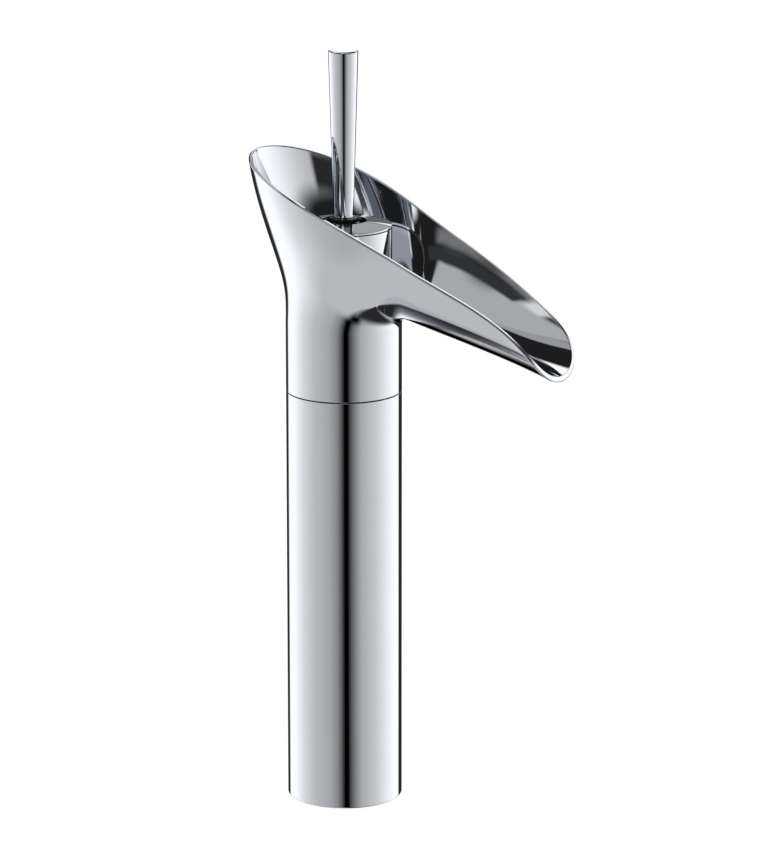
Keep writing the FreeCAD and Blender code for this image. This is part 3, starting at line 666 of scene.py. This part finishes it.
class CallaForm:
    """Formulas of the spout's two skins and of the rim that cuts them."""

    def __init__(self, spout, column):
        self.radius = column.radius
        self.foot = column.line_top
        self.spout = spout
        self.elbow_z = self.foot + spout.elbow_rise
        self.bend = math.radians(90.0) + spout.keel_drop
        run = spout.mouth_run + spout.run_past
        elbow = [(math.radians(turn) * spout.elbow_pitch, tall, wide) for turn, tall, wide in ELBOW_RINGS]
        bent = self.bend * spout.elbow_pitch
        straight = [(bent + share * run, tall, wide) for share, tall, wide in RUN_RINGS]
        self.pitch, tall, wide = np.array(elbow + straight).T
        self.last_pitch = self.pitch[-1]
        self.sizes = [(values, self.clamped(values)) for values in (tall * MM, wide * MM)]
        tip_x, tip_z = self.keel(bent + spout.mouth_run)[0]
        nose = [(tip_x + x * MM, tip_z + z * MM) for x, z in RIM_NOSE]
        back = [(x * MM, self.elbow_z + z * MM) for x, z in RIM_BACK]
        self.rim = self.rim_curve(np.array(back + nose))

    def clamped(self, values):
        """Slopes of the growth curve: level at its start, along the last chord at its end."""
        last = (values[-1] - values[-2]) / (self.pitch[-1] - self.pitch[-2])
        return spline_slopes(self.pitch, values, 0.0, last)

    def rim_curve(self, points):
        """The rim's side view as fine (x, z) samples, stretched straight past both ends."""
        chord = np.concatenate(((0.0,), np.cumsum(np.linalg.norm(np.diff(points, axis=0), axis=1))))
        samples = np.linspace(0.0, chord[-1], RIM_SAMPLES)
        sides = []
        for values in points.T:
            first = end_slope(chord[:4], values[:4])
            last = end_slope(chord[-4:][::-1], values[-4:][::-1])
            sides.append(spline_at(chord, values, spline_slopes(chord, values, first, last), samples))
        curve = np.stack(sides, -1)
        ahead = curve[-1] + (curve[-1] - curve[-2]) * RIM_STRETCH
        behind = curve[0] + (curve[0] - curve[1]) * RIM_STRETCH
        return np.vstack((behind, curve, ahead))

    def keel(self, pitch):
        """Foot of each ellipse on the keel and its up direction, both as (x, z)."""
        turn = np.clip(np.asarray(pitch) / self.spout.elbow_pitch, 0.0, self.bend)
        run = pitch - turn * self.spout.elbow_pitch
        up = np.stack((-np.cos(turn), np.sin(turn)), -1)
        along = np.stack((np.sin(turn), np.cos(turn)), -1)
        centre = np.array((self.radius + self.spout.elbow_radius, self.elbow_z))
        return centre + up * self.spout.elbow_radius + along * run[..., None], up

    def skin(self, psi, pitch, inset):
        """Point of a skin: on the ellipse standing on the keel at that pitch, psi round from the keel.

        rise = inset + half height * (1 - cos psi) along the up direction, sideways = half width * sin psi.
        """
        grown = np.clip(pitch, 0.0, self.last_pitch)
        tall, wide = [spline_at(self.pitch, values, slopes, grown) for values, slopes in self.sizes]
        foot, up = self.keel(pitch)
        rise = inset + (self.radius + tall - inset) * (1 - np.cos(psi))
        side = (self.radius + wide - inset) * np.sin(psi)
        flat = foot + up * rise[..., None]
        return np.stack((flat[..., 0], side, flat[..., 1]), -1)

    def tangents(self, psi, pitch, inset, step):
        """Slopes of a skin along its angle and its pitch, the second from the given step."""
        turn = self.skin(psi + SMALL_STEP, pitch, inset) - self.skin(psi - SMALL_STEP, pitch, inset)
        rise = self.skin(psi, pitch + step, inset) - self.skin(psi, pitch - step, inset)
        return turn / (2 * SMALL_STEP), rise / (2 * step)

    def normal(self, psi, pitch, inset):
        """Outward normal of a skin."""
        return unit(np.cross(*self.tangents(psi, pitch, inset, FINE_STEP)))

    def over_rim(self, psi, pitch, inset):
        """How far points of a skin are over the rim's side view."""
        points = self.skin(psi, pitch, inset)
        return points[..., 2] - np.interp(points[..., 0], self.rim[:, 0], self.rim[:, 1])

    def rim_line(self, inset, shares):
        """Angle and pitch of the rim on a skin, at shares of its half-length from the tip to the back.

        The tip and the back come first, by halving the pitch there.  Every ring between them then
        meets the rim once, at the angle found by halving.
        """
        poles = np.array((0.0, math.pi))
        tip, back = halved(lambda pitch: self.over_rim(poles, pitch, inset), np.zeros(2),
                           np.full(2, self.last_pitch))
        swing = np.cos(np.linspace(0.0, math.pi, RIM_RINGS))
        pitch = 0.5 * (tip + back) + 0.5 * (tip - back) * swing
        psi = halved(lambda place: self.over_rim(place, pitch, inset), np.zeros(RIM_RINGS),
                     np.full(RIM_RINGS, math.pi))
        points = self.skin(psi, pitch, inset)
        run = np.concatenate(((0.0,), np.cumsum(np.linalg.norm(np.diff(points, axis=0), axis=1))))
        return np.interp(shares * run[-1], run, psi), np.interp(shares * run[-1], run, pitch)

    def edge(self, psi, pitch, inset):
        """Rim points of a skin with the directions along the rim, down the skin and across the cut."""
        points = self.skin(psi, pitch, inset)
        along = unit(np.roll(points, -1, 0) - np.roll(points, 1, 0))
        down = unit(np.cross(along, self.normal(psi, pitch, inset)))
        fall = np.gradient(self.rim[:, 1], self.rim[:, 0])
        slope = np.interp(points[:, 0], self.rim[:, 0], fall)
        cut = unit(np.stack((-slope, np.zeros_like(slope), np.ones_like(slope)), -1))
        return points, along, down, unit(np.cross(cut, along))

    def moved(self, psi, pitch, inset, shift):
        """Angle and pitch after a small shift along the skin, from the two tangents at the point."""
        turn, rise = self.tangents(psi, pitch, inset, SMALL_STEP)
        tt, tr, rr, ts, rs = [np.sum(a * b, -1) for a, b in ((turn, turn), (turn, rise), (rise, rise),
                                                             (turn, shift), (rise, shift))]
        scale = tt * rr - tr ** 2
        return psi + (rr * ts - tr * rs) / scale, pitch + (tt * rs - tr * ts) / scale


def halved(function, low, high):
    """Roots of a rising function of an array, each between its own low and high, by halving."""
    for _ in range(HALVINGS):
        middle = 0.5 * (low + high)
        past = function(middle) > 0
        high = np.where(past, middle, high)
        low = np.where(past, low, middle)
    return low


def round_edge(edge, first, last, radius, steps):
    """Arc across an edge between two directions that leave it, its normals, and its reach on them."""
    half = 0.5 * np.arccos(np.clip(np.sum(first * last, -1, keepdims=True), -1.0, 1.0))
    reach = radius / np.tan(half)
    centre = edge + unit(first + last) * radius / np.sin(half)
    spokes = arc_between(unit(edge + first * reach - centre), unit(edge + last * reach - centre), steps)
    return centre[:, None, :] + radius * spokes, spokes, reach


def mirrored(values, turn=0.0):
    """A half-loop from the keel to the back followed by its mirror image, whose values are turn - value."""
    other = turn - values[-2:0:-1] if turn else values[-2:0:-1]
    return np.concatenate((values, other))


class MIXER_OT_spout(bpy.types.Operator):
    """Calla spout: outer skin, rounded rim, inner skin and floor web as one closed surface"""

    bl_idname = "mixer.spout"
    bl_label = "Spout"

    def execute(self, context):
        spout = context.scene.mixer_spout
        column = context.scene.mixer_column
        form = CallaForm(spout, column)
        wall = spout.wall
        clear = EDGE_CLEAR * spout.edge_round
        shares = np.linspace(0.0, 1.0, spout.columns // 2 + 1)
        base = mirrored(math.pi * shares ** spout.crowding, 2 * math.pi)[:, None]
        share = np.linspace(0.0, 1.0, spout.rows)[None, :]
        # The outer skin runs up to the rim and the inner one down from it, with normals into the bowl
        skins = []
        slants = []
        for inset, start in ((0.0, form.foot), (wall, spout.web_top)):
            psi, pitch = form.rim_line(inset, shares)
            psi = mirrored(psi, 2 * math.pi)
            pitch = mirrored(pitch)
            edge, along, down, across = form.edge(psi, pitch, inset)
            first, last = (-across, down) if inset else (down, across)
            arc, arc_normals, reach = round_edge(edge, first, last, spout.rim_round, spout.arc_steps)
            end_psi, end_pitch = form.moved(psi, pitch, inset, down * reach)
            low = start + clear - form.elbow_z
            places = base + (end_psi[:, None] - base) * share[:, :-1] ** 2
            heights = low + (end_pitch[:, None] - low) * share[:, :-1]
            skin = [form.skin(places, heights, inset), arc]
            slant = [form.normal(places, heights, inset), arc_normals]
            skins += [skin[1], skin[0][:, ::-1]] if inset else skin
            slants += [slant[1], -slant[0][:, ::-1]] if inset else slant
        psi = base[:, 0]
        bore = column.radius - wall
        profile, slant = rounded_profile(
            [(bore, spout.web_top + clear), (bore, spout.web_top), (spout.web_hole, spout.web_top),
             (spout.web_hole, spout.web_bottom), (bore, spout.web_bottom), (bore, form.foot),
             (column.radius, form.foot), (column.radius, form.foot + clear)],
            [spout.edge_round] * 6, WEB_STEPS, False)
        skins.append(turned_grid(profile[1:-1], psi).transpose(1, 0, 2))
        slants.append(turned_grid(slant[1:-1], psi).transpose(1, 0, 2))
        points = np.concatenate(skins, 1).transpose(1, 0, 2)
        normals = np.concatenate(slants, 1).transpose(1, 0, 2)
        faces = grid_faces(points.shape[0], points.shape[1], True).tolist()
        add_piece("calla_spout", points, normals, faces, "faucet", "polished_chrome", ["spout_body"])
        return {"FINISHED"}


class MIXER_OT_tower(bpy.types.Operator):
    """Shallow dome cap of the tower and the dark seam under it"""

    bl_idname = "mixer.tower"
    bl_label = "Tower cap"

    def execute(self, context):
        tower = context.scene.mixer_tower
        small = tower.edge_round
        stop = ARC_STOP * small
        dome = (tower.radius ** 2 + tower.crown ** 2) / (2 * tower.crown)
        centre = tower.bottom + tower.band + tower.crown - dome
        lip = centre + math.sqrt(dome ** 2 - tower.hole ** 2)
        under = centre + math.sqrt((dome - tower.wall) ** 2 - tower.skirt_bore ** 2)
        corners = [(tower.skirt_bore, tower.skirt_bottom), (tower.skirt_radius, tower.skirt_bottom),
                   (tower.skirt_radius, tower.bottom), (tower.radius, tower.bottom),
                   (tower.radius, tower.bottom + tower.band),
                   arc_corner(centre, dome, tower.radius - stop, tower.hole + stop),
                   (tower.hole, lip), (tower.hole, lip - tower.wall), (tower.skirt_bore, under)]
        rounds = [small, small, 0.5 * small, 0.5 * small, small, dome, small, small, small]
        add_turned("dome_skin", corners, rounds, tower.segments, "faucet", "polished_chrome", ["dome_cap"],
                   DOME_STEPS)
        seam = ring_corners(tower.seam_bore, tower.seam_radius, tower.seam_bottom, tower.bottom)
        add_turned("cap_seam", seam, [0.5 * small] * 4, tower.segments, "faucet", "black_rubber",
                   ["cap_ring"])
        return {"FINISHED"}


def rod_surface(lever):
    """The rod's turned outline, with the round hole of the set screw let into its back.

    Round the hole the grid gives way to rings that pass evenly from a square of the grid to the
    hole's circle, each point set back on the cone, then go down the hole's wall to its end.
    """
    size = lever.segments
    half = lever.patch
    rise = lever.top - lever.bottom
    taper = (lever.top_radius - lever.foot_radius) / rise
    screw_z = lever.bottom + lever.screw_height
    reach = (lever.foot_radius + taper * lever.screw_height) * math.sin(2 * math.pi * half / size)

    def cone(height):
        """Radius of the rod at a height."""
        return lever.foot_radius + taper * (height - lever.bottom)

    profile, slant = rounded_profile(
        [(0.0, lever.bottom + lever.bore_depth), (lever.bore, lever.bottom + lever.bore_depth),
         (lever.bore, lever.bottom), (lever.foot_radius, lever.bottom), (lever.top_radius, lever.top),
         (0.0, lever.top)], [lever.edge_round] * 3 + [lever.top_round], ARC_STEPS, False)
    heights = np.linspace(screw_z - reach, screw_z + reach, 2 * half + 1)
    flank = np.stack((cone(heights), heights), -1)
    outward = np.broadcast_to(unit(np.array((1.0, -taper))), flank.shape)
    split = 1 + 3 * ARC_STEPS
    rows = np.vstack((profile[1:split], flank, profile[split:-1]))
    slants = np.vstack((slant[1:split], outward, slant[split:-1]))
    angles = even_angles(size)
    points = turned_grid(rows, angles)
    normals = turned_grid(slants, angles)
    quads = grid_faces(len(rows), size, False)

    # Rings from the square left out of the grid to the hole's circle and down its wall
    first_row = split - 1
    back = size // 2
    number_at = np.arange(len(rows) * size).reshape(len(rows), size)
    square = number_at[first_row:first_row + 2 * half + 1, back - half:back + half + 1]
    inside = np.isin(quads[:, 0], square[:-1, :-1])
    border = np.concatenate((square[0, :-1], square[:-1, -1], square[-1, :0:-1], square[:0:-1, 0]))
    rim = points.reshape(-1, 3)[border]
    spokes = unit(np.stack((rim[:, 1], rim[:, 2] - screw_z), -1))
    edge = lever.edge_round * 0.5
    circle = spokes * (lever.screw_radius + edge) + (0.0, screw_z)
    share = np.linspace(0.0, 1.0, PATCH_RINGS + 1)[1:, None, None]
    flat = rim[None, :, 1:] * (1 - share) + circle[None] * share
    depth = -np.sqrt(cone(flat[..., 1]) ** 2 - flat[..., 0] ** 2)
    rings = np.concatenate((depth[..., None], flat), -1)
    tilt = np.stack((depth, flat[..., 0]), -1) / cone(flat[..., 1])[..., None]
    ring_normals = np.concatenate((tilt, np.full(depth.shape + (1,), -taper)), -1)
    wall = spokes * lever.screw_radius + (0.0, screw_z)
    wall_in = np.column_stack((rings[-1, :, 0] + edge, wall))
    wall_end = np.column_stack((np.full(len(wall), -lever.screw_floor), wall))
    wall_normal = np.column_stack((np.zeros(len(wall)), -spokes))
    rings = np.concatenate((rings, wall_in[None], wall_end[None]))
    ring_normals = np.concatenate((ring_normals, wall_normal[None], wall_normal[None]))

    # One mesh: the ends are closed by fans, and points that no face uses are dropped
    poles = np.array(((0.0, 0.0, lever.bottom + lever.bore_depth), (0.0, 0.0, lever.top),
                      (-lever.screw_floor, 0.0, screw_z)))
    pole_normals = np.array(((0.0, 0.0, -1.0), (0.0, 0.0, 1.0), (-1.0, 0.0, 0.0)))
    vertices = np.vstack((points.reshape(-1, 3), rings.reshape(-1, 3), poles))
    all_normals = np.vstack((normals.reshape(-1, 3), ring_normals.reshape(-1, 3), pole_normals))
    base = points.shape[0] * size
    loop = len(border)
    ring_quads = grid_faces(len(rings), loop, False) + base
    first_ring = base + np.arange(loop)
    joint = np.stack((border, np.roll(border, -1), np.roll(first_ring, -1), first_ring), -1)
    pole = base + rings.shape[0] * loop
    last_ring = pole - loop + np.arange(loop)
    top_row = number_at[-1]
    fans = np.vstack((
        np.stack((np.full(size, pole), np.roll(number_at[0], -1), number_at[0]), -1),
        np.stack((top_row, np.roll(top_row, -1), np.full(size, pole + 1)), -1),
        np.stack((last_ring, np.roll(last_ring, -1), np.full(loop, pole + 2)), -1)))
    faces = [quads[~inside], joint, ring_quads, fans]
    kept, renumbered = np.unique(np.concatenate([part.ravel() for part in faces]), return_inverse=True)
    cuts = np.cumsum([part.size for part in faces])[:-1]
    faces = [part.reshape(old.shape).tolist() for part, old in zip(np.split(renumbered, cuts), faces)]
    return vertices[kept], all_normals[kept], sum(faces, [])


class MIXER_OT_lever(bpy.types.Operator):
    """Tapered hand rod with its set screw's hole, and the black ball with its collar"""

    bl_idname = "mixer.lever"
    bl_label = "Lever"

    def execute(self, context):
        lever = context.scene.mixer_lever
        vertices, normals, faces = rod_surface(lever)
        add_piece("rod_skin", vertices, normals, faces, "lever", "polished_chrome", ["lever_rod"])
        small = lever.edge_round
        sharp = SHARP_EDGE * small
        short = SHARP_STOP * small
        stop = ARC_STOP * small
        ball = lever.ball_radius
        hollow = lever.ball_hollow
        drop = lever.ball_foot - lever.pivot
        foot = math.sqrt(ball ** 2 - drop ** 2)
        hollow_foot = math.sqrt(hollow ** 2 - drop ** 2)
        neck = lever.pivot + math.sqrt(ball ** 2 - lever.collar ** 2)
        roof = lever.pivot + math.sqrt(hollow ** 2 - lever.hub_radius ** 2)
        corners = [(hollow_foot, lever.ball_foot), (foot, lever.ball_foot),
                   arc_corner(lever.pivot, ball, foot - short, lever.collar + stop),
                   (lever.collar, neck), (lever.collar, lever.bottom), (lever.bore, lever.bottom),
                   (lever.bore, lever.hub_bottom), (lever.hub_radius, lever.hub_bottom),
                   (lever.hub_radius, roof),
                   arc_corner(lever.pivot, hollow, lever.hub_radius + stop, hollow_foot - short)]
        rounds = [sharp, sharp, ball, small, 2 * small, small, small, small, small, hollow]
        add_turned("ball_skin", corners, rounds, lever.segments, "lever", "black_ball", ["lever_ball"],
                   BALL_STEPS)
        return {"FINISHED"}


class MIXER_OT_finishes(bpy.types.Operator):
    """Finishes of the pieces that keep the construction model's own mesh"""

    bl_idname = "mixer.finishes"
    bl_label = "Finishes"

    def execute(self, context):
        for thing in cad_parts.values():
            for place, material in enumerate(thing.data.materials):
                thing.data.materials[place] = finish(material.name.split(".")[0])
        return {"FINISHED"}


OPERATORS = (MIXER_OT_stage, MIXER_OT_column, MIXER_OT_spout, MIXER_OT_tower, MIXER_OT_lever,
             MIXER_OT_finishes)
GROUPS = {
    "mixer_stage": StageSettings,
    "mixer_column": ColumnSettings,
    "mixer_spout": SpoutSettings,
    "mixer_tower": TowerSettings,
    "mixer_lever": LeverSettings,
    "mixer_finish": FinishSettings,
}


class MIXER_PT_panel(bpy.types.Panel):
    """Sidebar with the mixer's operators and sizes"""

    bl_label = "Calla basin mixer"
    bl_idname = "MIXER_PT_panel"
    bl_space_type = "VIEW_3D"
    bl_region_type = "UI"
    bl_category = "Mixer"

    def draw(self, context):
        for operator in OPERATORS:
            self.layout.operator(operator.bl_idname)
        for name, group in GROUPS.items():
            box = self.layout.box()
            for key in group.__annotations__:
                box.prop(getattr(context.scene, name), key)


def register():
    """Adds the settings, the operators and the panel."""
    for name, group in GROUPS.items():
        bpy.utils.register_class(group)
        setattr(bpy.types.Scene, name, bpy.props.PointerProperty(type=group))
    for kind in OPERATORS + (MIXER_PT_panel,):
        bpy.utils.register_class(kind)


def unregister():
    """Takes away what register added."""
    for kind in (MIXER_PT_panel,) + OPERATORS[::-1]:
        bpy.utils.unregister_class(kind)
    for name, group in GROUPS.items():
        delattr(bpy.types.Scene, name)
        bpy.utils.unregister_class(group)


def main():
    """Builds everything in order."""
    register()
    for operator in OPERATORS:
        group, name = operator.bl_idname.split(".")
        getattr(getattr(bpy.ops, group), name)()


if __name__ == "__main__":
    main()
